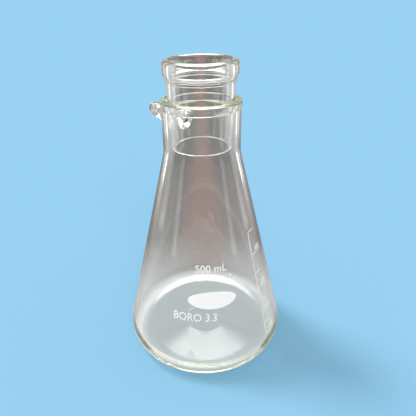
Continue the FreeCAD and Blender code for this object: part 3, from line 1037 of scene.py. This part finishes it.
def floor_paper(looks):
    """Matt floor that is one blue to the camera and shades of grey to the glass.

    The grey holds painted light and shade: it is light by the foot and beside the flask, with
    painted shade behind it.  A warm strip that runs back from the middle is a painted
    reflection of a person before the flask, and a painted pool of light makes the floor right
    under the flask nearly white."""
    material, nodes, links, shader, _ = new_material("floor_paper")
    shader.inputs["Roughness"].default_value = FLOOR_ROUGHNESS
    shader.inputs["Specular IOR Level"].default_value = 0.0
    place = nodes.new("ShaderNodeTexCoord").outputs["Object"]
    split = nodes.new("ShaderNodeSeparateXYZ")
    links.new(place, split.inputs["Vector"])
    back = split.outputs["Y"]
    aside = worked_out(nodes, links, "ABSOLUTE", split.outputs["X"])
    # Painted light by the foot and beside the flask, painted shade darkening behind it.
    shades = nodes.new("ShaderNodeValToRGB")
    near, far = shades.color_ramp.elements
    near.position, near.color = PAINTED_SHADE_NEAR, opaque(looks.floor_by_foot)
    far.position, far.color = PAINTED_SHADE_FAR, opaque(looks.floor_far)
    shades.color_ramp.elements.new(PAINTED_SHADE_MIDDLE).color = opaque(looks.floor_in_glass)
    links.new(ranged(nodes, links, back, 0.0, 1.0, 0.0, PAINTED_SHADE_REACH), shades.inputs["Fac"])
    tone = blend(nodes, links, shades.outputs["Color"], looks.floor_by_foot,
                 ranged(nodes, links, aside, 0.0, 1.0, *PAINTED_LIGHT_SIDES))
    # Painted reflection: a warm strip running back from the middle.
    strip = worked_out(nodes, links, "MULTIPLY",
                       ranged(nodes, links, aside, 1.0, 0.0, *REFLECTION_STRIP_EDGE),
                       ranged(nodes, links, back, 0.0, REFLECTION_STRIP_STRENGTH, *REFLECTION_STRIP_START))
    tone = blend(nodes, links, tone, looks.floor_middle, strip)
    # Painted light: a nearly white pool on the floor right under the flask.
    under = ranged(nodes, links, off_axis(nodes, links, place), 1.0, 0.0, *PAINTED_LIGHT_UNDER_EDGE)
    tone = blend(nodes, links, tone, looks.floor_under, under)
    path = nodes.new("ShaderNodeLightPath")
    tone = blend(nodes, links, tone, looks.floor_seen, path.outputs["Is Camera Ray"])
    links.new(tone, shader.inputs["Base Color"])
    return material


def white_card(name, corners, strength, fade=None):
    """A glowing card that only the glass picks up.

    With fade, its glow dies away to nothing at that distance from the upright axis."""
    mesh = bpy.data.meshes.new(name)
    mesh.from_pydata(corners, [], [(0, 1, 2, 3)])
    card = link(name, mesh)
    material, nodes, links, glow, _ = new_material(name, "ShaderNodeEmission")
    glow.inputs["Strength"].default_value = strength
    if fade:
        place = nodes.new("ShaderNodeTexCoord").outputs["Object"]
        reach = off_axis(nodes, links, place)
        links.new(ranged(nodes, links, reach, strength, 0.0, GLOW_START * fade, fade, smooth=True),
                  glow.inputs["Strength"])
    card.data.materials.append(material)
    card.visible_camera = False
    card.visible_diffuse = False
    card.visible_shadow = False


def room(looks):
    """Soft white room; the camera sees the floor's colour run on beyond the floor."""
    world = bpy.data.worlds.new("room")
    world.use_nodes = True
    nodes, links = world.node_tree.nodes, world.node_tree.links
    white = [looks.room * part for part in ROOM_TINT]
    path = nodes.new("ShaderNodeLightPath")
    links.new(blend(nodes, links, white, looks.backdrop, path.outputs["Is Camera Ray"]),
              nodes["Background"].inputs["Color"])
    return world


class FLASK_OT_stage(Operator):
    """Lays the pale floor, stands the cards round it and sets the lights"""
    bl_idname = "flask.stage"
    bl_label = "Stage"

    def execute(self, context):
        looks = context.scene.filter_flask.looks
        disc = bmesh.new()
        bmesh.ops.create_circle(disc, cap_ends=True, segments=FLOOR_SIDES,
                                radius=looks.floor_radius)
        mesh = bpy.data.meshes.new("floor")
        disc.to_mesh(mesh)
        disc.free()
        floor = link("floor", mesh)
        floor.data.materials.append(floor_paper(looks))
        for side, x in (("left", -CARD_ASIDE), ("right", CARD_ASIDE)):
            for k, y in enumerate(CARD_ROWS):
                low, high = y - CARD_HALF, y + CARD_HALF
                corners = [(x, low, 0.0), (x, high, 0.0), (x, high, CARD_TALL), (x, low, CARD_TALL)]
                white_card(f"card_{side}_{k}", corners, looks.card)
        far_light("key", KEY_HEADING, looks.key_power, KEY_SPREAD)
        wash = far_light("wash", WASH_HEADING, looks.wash_power, WASH_SPREAD)
        wash.visible_glossy = False
        wash.visible_transmission = False
        front_light(looks.front_power)
        half, over = looks.top_reach, looks.top_height
        corners = [(x * half, y * half, over) for x, y in ((-1, -1), (-1, 1), (1, 1), (1, -1))]
        white_card("card_top", corners, looks.top_glow, looks.top_reach)
        scene = context.scene
        scene.world = room(looks)
        scene.view_settings.view_transform = "Standard"
        scene.cycles.max_bounces = BOUNCES
        scene.cycles.glossy_bounces = BOUNCES
        scene.cycles.transmission_bounces = BOUNCES
        scene.cycles.transparent_max_bounces = TRANSPARENT_BOUNCES
        scene.cycles.caustics_refractive = False
        scene.cycles.caustics_reflective = False
        return {"FINISHED"}


# ---- the sidebar -------------------------------------------------------------
OPERATORS = (
    FLASK_OT_camera, FLASK_OT_body, FLASK_OT_side_arm, FLASK_OT_insert,
    FLASK_OT_lettering, FLASK_OT_patch, FLASK_OT_scale, FLASK_OT_stage,
)


class FLASK_PT_sidebar(Panel):
    """Lists the flask's operators"""
    bl_idname = "FLASK_PT_sidebar"
    bl_label = "Filter flask"
    bl_space_type = "VIEW_3D"
    bl_region_type = "UI"
    bl_category = "Flask"

    def draw(self, context):
        for operator in OPERATORS:
            self.layout.operator(operator.bl_idname)


GROUPS = (FlaskSizes, InsertSizes, ArmSizes, MarkSizes, Looks, FilterFlask)
CLASSES = GROUPS + OPERATORS + (FLASK_PT_sidebar,)


def register():
    for item in CLASSES:
        bpy.utils.register_class(item)
    bpy.types.Scene.filter_flask = PointerProperty(type=FilterFlask)


def unregister():
    del bpy.types.Scene.filter_flask
    for item in reversed(CLASSES):
        bpy.utils.unregister_class(item)


def main():
    register()
    bpy.ops.flask.camera()
    bpy.ops.flask.body()
    bpy.ops.flask.side_arm()
    bpy.ops.flask.insert()
    bpy.ops.flask.lettering()
    bpy.ops.flask.patch()
    bpy.ops.flask.scale()
    bpy.ops.flask.stage()


if __name__ == "__main__":
    main()
